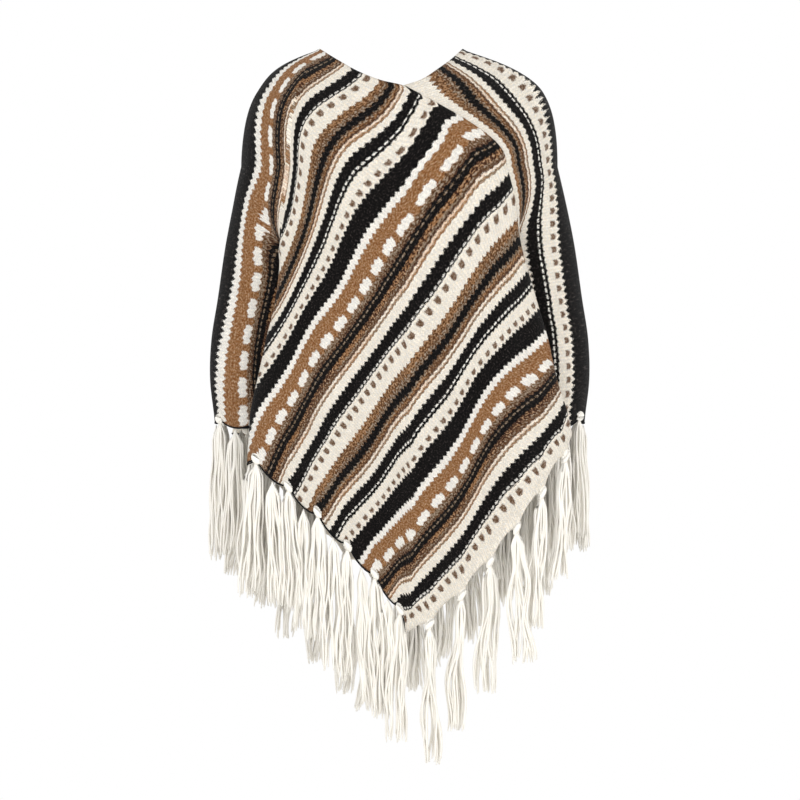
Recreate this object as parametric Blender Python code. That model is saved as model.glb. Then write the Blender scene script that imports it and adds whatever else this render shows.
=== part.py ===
"""Knitted poncho: two striped rectangles sewn end to side, worn, with a knotted yarn fringe.

Panel A hangs over the front and the left arm. Panel B is the same piece turned half a turn about
the upright axis. The short end of each panel is sewn to the long inner edge of the other, which
leaves a V neck and a point of cloth in front and at the back. Metres, +Z up, the front faces -Y,
and the origin is the middle of the neck at the height of the shoulder tops.

A panel is a sheet of hanging lines. Each line leaves the neck edge, goes out over the shoulder and
hangs down to the hem. The stations below count the lines round the body, from the front seam over
the left arm to the back seam; the sections and pleats say where each runs at a given height.
"""

import bpy
import numpy as np

WALL = 0.003
SEAM_GAP = 0.0003

# Stations round panel A: share of the neck edge, hem height, how directly the line falls from the
# neck to the foot of the shoulder (0 leaves level, 1 goes straight), grid lines to the next row.
# name, neck, hem, fall, lines
STATIONS = (
    ("front seam", 0.000, -0.556, 0.67, 14),
    ("front point", 0.080, -0.830, 0.80, 14),
    ("left lip", 0.430, -0.592, 0.30, 7),
    ("left valley", 0.470, -0.566, 0.27, 6),
    ("left mouth", 0.500, -0.543, 0.25, 4),
    ("arm fold", 0.560, -0.532, 0.20, 4),
    ("far mouth", 0.713, -0.541, 0.30, 5),
    ("far valley", 0.856, -0.548, 0.45, 6),
    ("back seam", 1.000, -0.556, 0.67, 0),
)
# The right edge of the point bows down: size, and how far towards the point its belly lies. The
# left edge arches up. The back hangs a little shorter: how far its point lies above the front one,
# and its share of the bow.
HEM_BOW = 0.170
HEM_BOW_SKEW = 1.6
HEM_ARCH = 0.023
POINT_LIFT = {"a": 0.0, "b": 0.045}
BOW_SHARE = {"a": 1.0, "b": 0.2}
# The drape's lines stand closer together near its lips: 0 spaces them evenly.
LIP_EASE = 0.12
SHOULDER_ROWS = 6
HANGING_ROWS = 13

# Neck edge of panel A from the front V over the left shoulder to the back V.
# share, x, y, z
NECK = (
    (0.00, 0.006, -0.086, -0.056),
    (0.11, -0.026, -0.084, -0.049),
    (0.21, -0.053, -0.075, -0.037),
    (0.34, -0.080, -0.050, -0.018),
    (0.53, -0.103, 0.004, -0.001),
    (0.68, -0.084, 0.046, -0.018),
    (0.80, -0.058, 0.070, -0.034),
    (0.91, -0.032, 0.083, -0.048),
    (1.00, -0.006, 0.086, -0.056),
)
# The whole neck sits a little to one side; the shift dies out over this drop.
NECK_SHIFT = -0.013
NECK_SHIFT_DROP = 0.061

# Level cuts of the worn form. The front drape runs between its two lips, where it turns over the
# pleats between body and arms. depth, lip_depth and arm_depth are how far the drape, its lips and
# the cloth over the arm lie in front of the middle.
# height, half_width, depth, lip_left, lip_right, lip_depth, arm_depth
SECTIONS = (
    (-0.170, 0.227, 0.108, 0.156, 0.153, 0.082, 0.066),
    (-0.217, 0.238, 0.114, 0.162, 0.165, 0.086, 0.066),
    (-0.275, 0.250, 0.118, 0.168, 0.172, 0.088, 0.062),
    (-0.362, 0.263, 0.124, 0.177, 0.195, 0.090, 0.058),
    (-0.420, 0.272, 0.127, 0.190, 0.212, 0.091, 0.056),
    (-0.478, 0.274, 0.130, 0.203, 0.225, 0.091, 0.055),
    (-0.530, 0.268, 0.131, 0.214, 0.241, 0.091, 0.053),
    (-0.560, 0.266, 0.132, 0.216, 0.247, 0.091, 0.052),
    (-0.840, 0.266, 0.122, 0.216, 0.247, 0.088, 0.052),
)
OVAL_POWER = 2.4
# Share of the half width where the oval's slope is cut off, because it grows without end beyond.
OVAL_LIMIT = 0.985
SHOULDER_FOOT = -0.170
SHOULDER_FULLNESS = 0.80

# The pleats hidden behind the lips: side, height where the pleat starts, its reach under the
# drape at the hem, and the strip of arm cloth in front of the arm fold.
PLEATS = {
    -1: {"apex": -0.203, "reach": 0.098, "strip": 0.060},
    1: {"apex": -0.167, "reach": 0.056, "strip": 0.050},
}
PLEAT_HEM = -0.550
PLEAT_OPENING = 0.140
PLEAT_TURN = 0.060
# How far down the three layers the valley lies, and the oval's shares where a pleat is closed.
VALLEY_LAYER = 0.68
CLOSED_SHARES = (0.0, 0.42, 0.74)

# Soft upright folds of the drape: place across it (0 right lip, 1 left lip), half width as a
# share of the drape, height at the foot, and the height where the fold begins.
FOLDS = (
    (0.16, 0.060, 0.010, -0.20),
    (0.31, 0.065, -0.008, -0.22),
    (0.46, 0.060, 0.011, -0.16),
    (0.61, 0.065, -0.007, -0.26),
    (0.74, 0.060, 0.009, -0.24),
    (0.87, 0.050, -0.005, -0.22),
)
FOLD_FOOT = -0.620

# Fringe: bunches of yarn knotted along the hem, built as locks hanging from a narrow strip.
STRIP_GAP = 0.0013
STRIP_HEIGHT = 0.006
TASSEL_PITCH = 0.062
LOCKS = 4
LOCK_PITCH = 0.0115
LOCK_ROOT = 0.0065
LOCK_TIP = 0.55
LOCK_LENGTH = 0.195
LOCK_SPREAD = 0.0012
TASSEL_SWAY = 0.004
FRINGE_SEED = 7

YARN_BROWN = (0.30, 0.15, 0.07)
YARN_BLACK = (0.02, 0.02, 0.025)
YARN_CREAM = (0.85, 0.79, 0.67)


def mix(a, b, share):
    return a + (b - a) * share


def smooth_step(x):
    """0 below 0, 1 above 1 and 3x^2 - 2x^3 between."""
    x = np.clip(x, 0.0, 1.0)
    return x * x * (3.0 - 2.0 * x)


def hermite(t, start, start_pull, end, end_pull):
    """Cubic from start to end that leaves and arrives with the given pulls."""
    return (
        (2 * t**3 - 3 * t**2 + 1) * start
        + (t**3 - 2 * t**2 + t) * start_pull
        + (3 * t**2 - 2 * t**3) * end
        + (t**3 - t**2) * end_pull
    )


def through(table, column, x):
    """Smooth curve through one column of a table: cubics whose slope at each row is the slope
    between that row's neighbours."""
    rows = np.array(table, float)
    rows = rows[np.argsort(rows[:, 0])]
    knots = rows[:, 0]
    values = rows[:, column]
    slopes = np.gradient(values, knots)
    x = np.clip(x, knots[0], knots[-1])
    i = np.clip(np.searchsorted(knots, x) - 1, 0, len(knots) - 2)
    span = knots[i + 1] - knots[i]
    return hermite((x - knots[i]) / span, values[i], span * slopes[i], values[i + 1], span * slopes[i + 1])


def section(name, z):
    names = ("height", "half_width", "depth", "lip_left", "lip_right", "lip_depth", "arm_depth")
    return through(SECTIONS, names.index(name), z)


def oval(x, z):
    """Level cut of the unpleated form, |x/w|^p + |y/d|^p = 1. Returns y and the slope dy/dx."""
    half = section("half_width", z)
    depth = section("depth", z)
    share = np.clip(np.abs(x) / half, 0.0, OVAL_LIMIT)
    rise = (1.0 - share**OVAL_POWER) ** (1.0 / OVAL_POWER)
    slope = np.sign(x) * depth / half * (share / rise) ** (OVAL_POWER - 1.0)
    return -depth * rise, slope


def pleat_opening(side, z):
    """0 above the apex of a pleat, and 1 from PLEAT_OPENING below it."""
    return smooth_step((PLEATS[side]["apex"] - z) / PLEAT_OPENING)


def pleat_stations(side, z):
    """Lip, valley, mouth and arm fold at height z, walked outwards: x, y, pull in x, pull in y.
    Above the apex they lie on the oval. Below it they part into three layers."""
    pleat = PLEATS[side]
    lip = section("lip_left" if side < 0 else "lip_right", z)
    half = section("half_width", z)
    lip_y = -section("lip_depth", z)
    arm_y = -section("arm_depth", z)
    opened = pleat_opening(side, z)
    grown = np.clip((pleat["apex"] - z) / (pleat["apex"] - PLEAT_HEM), 0.0, 1.05)
    turn = PLEAT_TURN * mix(0.2, 1.0, grown)
    chord = CLOSED_SHARES[1] * (half - lip)
    folded = (
        (lip, lip_y, 0.0, turn),
        (lip - pleat["reach"] * grown, mix(lip_y, arm_y, VALLEY_LAYER), 0.0, 0.6 * turn),
        (half - pleat["strip"], arm_y, 1.5 * pleat["strip"], 0.0),
    )
    stations = []
    for share, (fold_x, fold_y, pull_x, pull_y) in zip(CLOSED_SHARES, folded):
        x = mix(lip, half, share)
        y, slope = oval(x, z)
        length = np.hypot(1.0, slope)
        stations.append(
            (
                side * mix(x, fold_x, opened),
                mix(y, fold_y, opened),
                side * mix(chord / length, pull_x, opened),
                mix(chord * slope / length, pull_y, opened),
            )
        )
    stations.append((side * half, 0.0 * half, 0.0 * half, -1.5 * arm_y))
    return stations


def pleat_walk(side, t, z):
    """Point on a pleat: t from 0 to 1 runs from the lip to the valley, to 2 to the mouth and to 3
    round the arm to its fold."""
    stations = pleat_stations(side, z)
    x = np.zeros(z.shape)
    y = np.zeros(z.shape)
    for piece in range(3):
        here = np.clip(np.floor(t), 0, 2) == piece
        here = np.broadcast_to(here, z.shape)
        a = [np.broadcast_to(v, z.shape) for v in stations[piece]]
        b = [np.broadcast_to(v, z.shape) for v in stations[piece + 1]]
        local = np.broadcast_to(t - piece, z.shape)
        x = np.where(here, hermite(local, a[0], a[2], b[0], b[2]), x)
        y = np.where(here, hermite(local, a[1], a[3], b[1], b[3]), y)
    return x, y


def drape_folds(across, z):
    """Height of the soft folds: a sum of bell curves across the drape that grow downwards."""
    total = np.zeros(z.shape)
    for place, width, height, start in FOLDS:
        grown = smooth_step((start - z) / (start - FOLD_FOOT))
        total = total + height * grown * np.exp(-(((across - place) / width) ** 2))
    return total


def drape_walk(across, z):
    """Front drape from the right lip (across 0) to the left lip (across 1): on the oval above the
    apexes, and below them a shallow oval that turns over at both lips."""
    x = mix(section("lip_right", z), -section("lip_left", z), across)
    flat_y, _ = oval(x, z)
    lip_y = -section("lip_depth", z)
    edge = np.clip(np.abs(2.0 * across - 1.0), 0.0, 1.0)
    roll = (1.0 - edge**OVAL_POWER) ** (1.0 / OVAL_POWER)
    rolled_y = mix(lip_y, -section("depth", z), roll)
    opened = mix(pleat_opening(1, z), pleat_opening(-1, z), smooth_step(across))
    return x, mix(flat_y, rolled_y, opened) - drape_folds(across, z)


def across_drape(station):
    """Share of the drape's width at a station between 0 (front seam) and 2 (left lip)."""
    station = np.clip(station, 0.0, 2.0)
    return 0.5 * station - LIP_EASE * np.sin(np.pi * station)


def form(station, z):
    """Plan position of the hanging line at a station, at height z. The far side of the arm is the
    right pleat turned half a turn, because the other panel's front is this panel's back."""
    drape_x, drape_y = drape_walk(across_drape(station), z)
    near_x, near_y = pleat_walk(-1, np.clip(station - 2.0, 0.0, 3.0), z)
    far_x, far_y = pleat_walk(1, np.clip(8.0 - station, 0.0, 3.0), z)
    x = np.where(station < 2.0, drape_x, np.where(station < 5.0, near_x, -far_x))
    y = np.where(station < 2.0, drape_y, np.where(station < 5.0, near_y, -far_y))
    return x, y


def between_stations(column, station):
    """Value of a column of STATIONS at any station, linear between rows."""
    rows = np.arange(len(STATIONS))
    return np.interp(station, rows, [row[column] for row in STATIONS])


def hem_height(station, label):
    """Height of a panel's hem. On the drape its two edges are straight as seen from the front, but
    the right one bows down by HEM_BOW q^HEM_BOW_SKEW (1 - q), where q runs from the seam to the
    point, and the left one arches up by HEM_ARCH sqrt(sin(pi r)), where r runs from the point to
    the lip. The lift of the point dies out evenly along both edges."""
    place = np.where(station < 2.0, 2.0 * across_drape(station), station)
    q = np.clip(place, 0.0, 1.0)
    bow = BOW_SHARE[label] * HEM_BOW * q**HEM_BOW_SKEW * (1.0 - q)
    arch = HEM_ARCH * np.sqrt(np.sin(np.pi * np.clip(place - 1.0, 0.0, 1.0)).clip(0.0))
    lift = POINT_LIFT[label] * np.clip(1.0 - np.abs(place - 1.0), 0.0, 1.0)
    return between_stations(2, place) - bow + arch + lift


def line_stations():
    """Station of every hanging line."""
    steps = [i + k / row[4] for i, row in enumerate(STATIONS) for k in range(row[4])]
    return np.array(steps + [len(STATIONS) - 1.0])


def panel_surface(stations, label):
    """Middle surface of a panel as an array of lines by rows by xyz, before panel B gets its half
    turn. A line leaves the neck along a cubic over the shoulder, and below SHOULDER_FOOT it
    follows the level cuts."""
    neck_share = between_stations(1, stations)
    hem = hem_height(stations, label)
    neck = np.stack([through(NECK, c, neck_share) for c in (1, 2, 3)], axis=-1)
    fall = between_stations(3, stations)
    foot_z = np.full((len(stations), 1), SHOULDER_FOOT)
    foot_x, foot_y = form(stations[:, None], foot_z)
    foot = np.stack([foot_x, foot_y, foot_z], axis=-1)[:, 0]
    corner = foot.copy()
    corner[:, 2] = mix(neck[:, 2], foot[:, 2], fall)
    near_neck = mix(neck, corner, SHOULDER_FULLNESS)[:, None]
    near_foot = mix(foot, corner, SHOULDER_FULLNESS)[:, None]
    t = np.linspace(0.0, 1.0, SHOULDER_ROWS + 1)[None, :-1, None]
    shoulder = (
        (1 - t) ** 3 * neck[:, None]
        + 3 * (1 - t) ** 2 * t * near_neck
        + 3 * (1 - t) * t**2 * near_foot
        + t**3 * foot[:, None]
    )
    t = np.linspace(0.0, 1.0, HANGING_ROWS + 1)[None, :]
    z = mix(SHOULDER_FOOT, hem[:, None], t)
    x, y = form(stations[:, None], z)
    return np.concatenate([shoulder, np.stack([x, y, z], axis=-1)], axis=1)


def settle_neck(points):
    """Moves the neck aside by NECK_SHIFT, less and less over NECK_SHIFT_DROP below the shoulder tops."""
    moved = np.array(points, float)
    moved[..., 0] += NECK_SHIFT * smooth_step(1.0 + moved[..., 2] / NECK_SHIFT_DROP)
    return moved


def half_turn(points):
    """Points turned half a turn about the upright axis."""
    return points * np.array((-1.0, -1.0, 1.0))


def unit(vectors):
    return vectors / np.linalg.norm(vectors, axis=-1, keepdims=True)


def surface_normals(surface):
    """Outward normals. At a seam the neighbouring line belongs to the other panel."""
    before = half_turn(surface[-2])[None]
    after = half_turn(surface[1])[None]
    steps = unit(np.diff(np.concatenate([before, surface, after]), axis=0))
    along = steps[1:] + steps[:-1]
    down = np.gradient(surface, axis=1)
    return unit(np.cross(along, down))


def add_object(name, points, faces, colour):
    mesh = bpy.data.meshes.new(name)
    mesh.from_pydata(settle_neck(points).tolist(), [], [tuple(int(i) for i in f) for f in faces])
    mesh.update()
    mesh.shade_smooth()
    material = bpy.data.materials.new(name + " yarn")
    material.use_nodes = True
    shader = material.node_tree.nodes["Principled BSDF"]
    shader.inputs["Base Color"].default_value = (*colour, 1.0)
    shader.inputs["Roughness"].default_value = 0.95
    shader.inputs["Metallic"].default_value = 0.0
    mesh.materials.append(material)
    thing = bpy.data.objects.new(name, mesh)
    bpy.context.collection.objects.link(thing)
    return thing


def wall_faces(lines, rows):
    """Faces of a closed wall: the outer grid first, then the inner one, then the rim."""
    index = np.arange(lines * rows).reshape(lines, rows)
    inner = index + lines * rows
    faces = []
    for i in range(lines - 1):
        for j in range(rows - 1):
            a, b, c, d = index[i, j], index[i, j + 1], index[i + 1, j + 1], index[i + 1, j]
            faces.append((a, d, c, b))
            shift = lines * rows
            faces.append((a + shift, b + shift, c + shift, d + shift))
    rim = list(index[:, 0]) + list(index[-1, 1:]) + list(index[-2::-1, -1]) + list(index[0, -2:0:-1])
    rim_inner = [i + lines * rows for i in rim]
    for k in range(len(rim)):
        n = (k + 1) % len(rim)
        faces.append((rim[n], rim[k], rim_inner[k], rim_inner[n]))
    return faces


def add_panel(name, surface, normals, colour):
    """Cloth wall: the middle surface moved out and in by half the wall, its seam edges drawn
    back so that the sewn edges lie SEAM_GAP apart."""
    middle = surface.copy()
    middle[0] += unit(surface[1] - surface[0]) * SEAM_GAP / 2
    middle[-1] += unit(surface[-2] - surface[-1]) * SEAM_GAP / 2
    outer = middle + normals * WALL / 2
    inner = middle - normals * WALL / 2
    points = np.concatenate([outer.reshape(-1, 3), inner.reshape(-1, 3)])
    return add_object(name, points, wall_faces(*surface.shape[:2]), colour)


def lock_places(length):
    """Start and end of every lock's root along a hem of the given length, and its tassel."""
    count = max(1, round(length / TASSEL_PITCH))
    places = []
    for tassel in range(count):
        middle = length * (tassel + 0.5) / count
        for k in range(LOCKS):
            centre = middle + (k - (LOCKS - 1) / 2) * LOCK_PITCH
            places.append((centre - LOCK_ROOT / 2, centre + LOCK_ROOT / 2, tassel))
    return places


def add_fringe(name, hem, hang, normals, random, colour):
    """Strip under a hem with its locks, one closed body. The strip goes on from the cloth wall
    along its hanging lines, and each lock is drawn down from its own bottom face."""
    steps = np.linalg.norm(np.diff(hem, axis=0), axis=1)
    distance = np.concatenate([[0.0], np.cumsum(steps)])
    places = lock_places(distance[-1])
    ends = [SEAM_GAP / 2, distance[-1] - SEAM_GAP / 2]
    roots = [p for start, end, _ in places for p in (start, end)]
    free = [
        d
        for d in distance[1:-1]
        if all(d < start - 0.001 or d > end + 0.001 for start, end, _ in places)
    ]
    stations = np.array(sorted(ends + roots + free))

    def at(values):
        return np.stack([np.interp(stations, distance, values[:, c]) for c in range(3)], axis=-1)

    line, down, out = at(hem), unit(at(hang)), unit(at(normals))
    top = line + down * STRIP_GAP
    low = top + down * STRIP_HEIGHT
    ring = [top + out * WALL / 2, top - out * WALL / 2, low - out * WALL / 2, low + out * WALL / 2]
    points = list(np.stack(ring, axis=1).reshape(-1, 3))
    starts = {round(start, 9): tassel for start, _, tassel in places}
    sway = random.uniform(-TASSEL_SWAY, TASSEL_SWAY, (len(places), 2))
    faces = [(3, 2, 1, 0)]
    for i in range(len(stations) - 1):
        a, b = 4 * i, 4 * i + 4
        faces += [(a + 1, b + 1, b, a), (a + 2, b + 2, b + 1, a + 1), (a, b, b + 3, a + 3)]
        root = (a + 3, b + 3, b + 2, a + 2)
        tassel = starts.get(round(stations[i], 9))
        if tassel is None:
            faces.append(root)
            continue
        base = np.array([points[k] for k in root])
        centre = base.mean(axis=0)
        length = LOCK_LENGTH * random.uniform(0.88, 1.06)
        previous = root
        for drop, scale in ((0.5, 1.0), (1.0, LOCK_TIP)):
            ring_points = centre + (base - centre) * scale
            ring_points[:, :2] += sway[tassel] * drop + random.uniform(-1, 1, 2) * LOCK_SPREAD
            ring_points[:, 2] = centre[2] - length * drop
            first = len(points)
            points += list(ring_points)
            now = tuple(range(first, first + 4))
            for k in range(4):
                n = (k + 1) % 4
                faces.append((previous[k], previous[n], now[n], now[k]))
            previous = now
        faces.append(previous)
    last = 4 * (len(stations) - 1)
    faces.append((last, last + 1, last + 2, last + 3))
    return add_object(name, points, faces, colour)


def build():
    for thing in list(bpy.data.objects):
        bpy.data.objects.remove(thing)
    stations = line_stations()
    point = int(np.argmin(np.abs(stations - 1.0)))
    for label, turn, colour in (("a", lambda p: p, YARN_BROWN), ("b", half_turn, YARN_BLACK)):
        surface = panel_surface(stations, label)
        normals = surface_normals(surface)
        hang = unit(surface[:, -1] - surface[:, -2])
        add_panel("panel_" + label, turn(surface), turn(normals), colour)
        random = np.random.default_rng(FRINGE_SEED)
        for run, part in (("end", slice(0, point + 1)), ("side", slice(point, None))):
            add_fringe(
                "fringe_" + label + "_" + run,
                turn(surface[part, -1]),
                turn(hang[part]),
                turn(normals[part, -1]),
                random,
                YARN_CREAM,
            )


build()
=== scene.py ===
"""Looks of the knitted poncho: two striped panels, their dark edge yarn and a knotted yarn fringe.

The cloth is worked out on the same hanging lines as the solids. Each point also knows its place on
the flat knitting, u along the stripes and v across them. That is its UV map, in millimetres, and the
yarn colours are charted on it. The second panel is the first one turned half a turn about the
upright axis, with creases of its own.
"""

from functools import partial

import bpy
import numpy as np
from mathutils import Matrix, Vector


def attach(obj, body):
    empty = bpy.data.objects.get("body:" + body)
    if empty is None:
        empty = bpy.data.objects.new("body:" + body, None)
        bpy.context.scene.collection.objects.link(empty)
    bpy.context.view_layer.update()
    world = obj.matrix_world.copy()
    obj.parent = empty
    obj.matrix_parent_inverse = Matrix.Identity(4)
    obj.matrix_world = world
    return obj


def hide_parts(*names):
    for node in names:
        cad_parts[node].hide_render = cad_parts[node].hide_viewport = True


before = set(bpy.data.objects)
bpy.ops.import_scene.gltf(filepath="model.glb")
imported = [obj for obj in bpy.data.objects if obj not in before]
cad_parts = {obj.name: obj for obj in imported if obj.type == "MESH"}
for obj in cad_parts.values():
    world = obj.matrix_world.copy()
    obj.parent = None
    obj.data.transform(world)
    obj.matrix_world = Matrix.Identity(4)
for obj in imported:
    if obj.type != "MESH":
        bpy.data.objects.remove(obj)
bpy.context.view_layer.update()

# ------------------------ sizes of the worn form, metres
WALL = 0.003
SEAM_GAP = 0.0003
# A panel is as wide as 1.80 stripe repeats and 3.055 of them long.
PANEL_WIDTH = 0.530
REPEAT = PANEL_WIDTH / 1.80

# Hanging lines that the rest are set between: share of the neck edge, hem height, how directly the
# line falls, grid lines to the next row, and where the hem lies on the flat knitting, as v in
# stripe repeats.
STATION_COLUMNS = ("name", "neck", "hem", "fall", "lines", "hem_v")
STATIONS = (
    ("front seam", 0.000, -0.556, 0.67, 64, 0.000),
    ("front point", 0.080, -0.830, 0.80, 62, 0.000),
    ("left lip", 0.430, -0.592, 0.30, 24, 1.420),
    ("left valley", 0.470, -0.566, 0.27, 22, 1.880),
    ("left mouth", 0.500, -0.543, 0.25, 18, 2.340),
    ("arm fold", 0.560, -0.532, 0.20, 20, 2.640),
    ("far mouth", 0.713, -0.541, 0.30, 24, 2.750),
    ("far valley", 0.856, -0.548, 0.45, 26, 2.900),
    ("back seam", 1.000, -0.556, 0.67, 0, 3.055),
)
POINT_STATION = 1.0
LIP_STATION = 2.0
ARM_STATION = 5.0
LAST_STATION = 8.0
# v of the neck edge at the front seam, and how far it runs on to the back seam, in repeats.
NECK_START = 1.80
NECK_SPAN = 1.255
HEM_BOW = 0.170
HEM_BOW_SKEW = 1.6
HEM_ARCH = 0.023
POINT_LIFT = {"a": 0.0, "b": 0.045}
BOW_SHARE = {"a": 1.0, "b": 0.2}
LIP_EASE = 0.12
SHOULDER_ROWS = 44
HANGING_ROWS = 108

# Neck edge, from the front seam to the back seam: share, x, y, z
NECK = (
    (0.00, 0.006, -0.086, -0.056),
    (0.11, -0.026, -0.084, -0.049),
    (0.21, -0.053, -0.075, -0.037),
    (0.34, -0.080, -0.050, -0.018),
    (0.53, -0.103, 0.004, -0.001),
    (0.68, -0.084, 0.046, -0.018),
    (0.80, -0.058, 0.070, -0.034),
    (0.91, -0.032, 0.083, -0.048),
    (1.00, -0.006, 0.086, -0.056),
)
NECK_SHIFT = -0.013
NECK_SHIFT_DROP = 0.061

# Level cuts of the worn form.
SECTION_COLUMNS = (
    "height", "half_width", "depth", "lip_left", "lip_right", "lip_depth", "arm_depth"
)
SECTIONS = (
    (-0.170, 0.227, 0.108, 0.156, 0.153, 0.082, 0.066),
    (-0.217, 0.238, 0.114, 0.162, 0.165, 0.086, 0.066),
    (-0.275, 0.250, 0.118, 0.168, 0.172, 0.088, 0.062),
    (-0.362, 0.263, 0.124, 0.177, 0.195, 0.090, 0.058),
    (-0.420, 0.272, 0.127, 0.190, 0.212, 0.091, 0.056),
    (-0.478, 0.274, 0.130, 0.203, 0.225, 0.091, 0.055),
    (-0.530, 0.268, 0.131, 0.214, 0.241, 0.091, 0.053),
    (-0.560, 0.266, 0.132, 0.216, 0.247, 0.091, 0.052),
    (-0.840, 0.266, 0.122, 0.216, 0.247, 0.088, 0.052),
)
OVAL_POWER = 2.4
OVAL_LIMIT = 0.985
SHOULDER_FOOT = -0.170
SHOULDER_FULLNESS = 0.80

# The pleat beside each arm: height of its apex, reach of its valley and width of the strip of cloth
# that shows beside it.
PLEATS = {
    -1: {"apex": -0.203, "reach": 0.098, "strip": 0.060},
    1: {"apex": -0.167, "reach": 0.056, "strip": 0.050},
}
PLEAT_PARTS = 3
PLEAT_HEM = -0.550
PLEAT_OPENING = 0.140
PLEAT_GROWTH_LIMIT = 1.05
PLEAT_TURN = 0.060
APEX_TURN = 0.2
VALLEY_TURN = 0.6
VALLEY_LAYER = 0.68
ARM_FULLNESS = 1.5
CLOSED_SHARES = (0.0, 0.42, 0.74)

# Soft folds: place across the drape, half width, swell at the foot, height where it begins
FOLDS = (
    (0.16, 0.060, 0.010, -0.20),
    (0.31, 0.065, -0.008, -0.22),
    (0.46, 0.060, 0.011, -0.16),
    (0.61, 0.065, -0.007, -0.26),
    (0.74, 0.060, 0.009, -0.24),
    (0.87, 0.050, -0.005, -0.22),
)
FOLD_FOOT = -0.620

# How far the knitting slips along v from even spacing, in mm, at six shares of a hanging line.
# place (0 right lip to 1 left lip across the drape, then 1 more a station), slip at share 0, 0.2,
# 0.4, 0.6, 0.8 and 1
SLIP = (
    (0.00, 5, 0, -2, 14, 20, 0),
    (0.07, 11, -14, -9, 4, 5, 0),
    (0.13, 12, -26, -16, -7, -13, -3),
    (0.25, 13, -29, -19, -20, -30, -5),
    (0.37, 13, -26, -16, -11, -11, 0),
    (0.49, 14, -10, -9, -6, -3, 3),
    (0.61, 16, 1, 8, 14, 21, 5),
    (0.73, 20, 5, 20, 23, 24, 10),
    (0.86, 21, 16, 38, 25, 32, 17),
    (1.00, 24, 20, 70, 50, 24, 22),
    (1.25, 25, 14, 64, 50, 22, 16),
    (1.50, 26, 20, 68, 54, 18, 10),
    (2.00, 30, 30, 74, 50, 14, 8),
    (2.90, 36, 38, 50, 8, 2, 0),
    (3.20, 38, 34, 44, 15, 14, 4),
    (3.50, 39, 32, 43, 24, 15, 3),
    (4.00, 38, 28, 16, 4, -4, -12),
    (4.65, 38, 4, -3, -9, -14, -18),
    (5.00, 42, -4, -5, 4, 2, 0),
    (5.80, 40, -8, -9, 8, 0, 0),
    (6.40, 22, -10, -12, 0, 0, 0),
    (7.00, 0, 0, 0, 0, 0, 0),
)
SLIP_STEPS = 5
# How round the corner of the free end is as the lines' ends pass it, and how fast that sharpens
# towards the hem.
CORNER_SOFTNESS = 0.5
CORNER_SHARPENING = 0.6
# On the drape u is laid at true scale from the point, so near the hem the knitting starts this far
# in from the seam; above the share of the line given here it starts at the seam.
HEM_START = 0.14
HEM_START_SHARE = 0.60

# Creases of each panel, as soft ridges and troughs on the flat knitting, in mm.
# u, v, half length, half width, turn in degrees from u, height
CREASES = {
    "a": (
        (150, 430, 120, 15, 62, 2.6),
        (210, 300, 150, 17, 48, -2.4),
        (330, 180, 110, 14, 55, 2.8),
        (420, 330, 130, 16, 58, -2.2),
        (300, 470, 90, 12, 35, 2.0),
        (90, 250, 70, 11, 30, 2.4),
        (60, 130, 60, 9, 40, -2.0),
        (40, 340, 55, 9, 10, 2.2),
        (45, 420, 45, 8, -8, -1.8),
        (440, 120, 70, 12, 70, 2.2),
        (250, 620, 110, 13, 5, 2.4),
        (380, 700, 120, 14, -6, -2.6),
        (180, 760, 90, 12, 12, 2.2),
        (420, 820, 100, 13, 3, 2.4),
        (120, 860, 60, 10, 20, -2.0),
        (470, 590, 70, 11, 8, 2.0),
    ),
    "b": (
        (130, 390, 100, 14, 52, 2.4),
        (240, 330, 130, 16, 60, -2.8),
        (350, 230, 120, 15, 47, 2.2),
        (400, 400, 110, 14, 66, -2.0),
        (280, 520, 100, 13, 28, 2.6),
        (70, 210, 60, 10, 36, -2.2),
        (60, 90, 50, 9, 22, 2.0),
        (45, 300, 60, 9, 14, 2.0),
        (470, 160, 80, 12, 76, -2.4),
        (220, 650, 120, 14, -4, -2.2),
        (350, 730, 100, 12, 9, 2.6),
        (160, 800, 80, 11, 6, 2.0),
        (440, 780, 120, 13, -5, -2.4),
        (300, 870, 70, 10, 4, 2.2),
    ),
}

# Edges: the seam lies in a soft groove, the neck edge is a rolled selvedge, and the long outer edge
# swells a little between its knots. The corner of the point curls forwards and down.
SEAM_GROOVE = 0.0016
SEAM_REACH = 0.005
SEAM_CALM = 0.020
NECK_CALM_SHARE = 1 / 12
NECK_ROLL = 0.0012
NECK_REACH = 0.004
SCALLOP = 0.0153
SCALLOP_REACH = 0.045
SCALLOP_END = 0.03
KNOT_PULL = 0.011
KNOT_PULL_REACH = 0.012
CORNER_CURL = (-0.007, -0.005, -0.010)
CORNER_REACH = 0.020
EDGE_YARN_RADIUS = 0.0015
EDGE_YARN_TIP = 0.2
EDGE_YARN_SIDES = 5
EDGE_YARN_OFFSET = 0.0008

# Fringe, metres. The ranges give how far one tassel, lock or strand differs from another.
FRINGE_SEED = 11
TASSEL_PITCH = 0.062
TASSEL_LEAN = {"end": 0.020, "side": 0.012}
TASSEL_WIDTHS = (0.80, 1.10)
TASSEL_LENGTHS = (0.90, 1.04)
LOCKS = 5
LOCK_SPREAD = 0.92
LOCK_SCATTER = 0.22
LOCK_WAVE = {"end": 0.0040, "side": 0.0026}
LOCK_TURNS = (0.7, 1.6)
STRANDS = {"end": 26, "side": 22}
STRAND_RADIUS = 0.0015
STRAND_ENDS = (0.4, 0.9, 0.5)
STRAND_SIDES = 4
STRAND_STEPS = 20
STRAND_CROWDING = 1.15
STRAND_LENGTH = 0.188
STRAND_LENGTHS = (0.95, 1.02)
STRAND_FAN = {"end": 0.0150, "side": 0.0165}
STRAND_DEPTH = 0.0070
STRAND_WAVE = 0.0010
STRAND_TURNS = (1.6, 3.2)
FAN_AT_KNOT = 0.55
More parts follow.
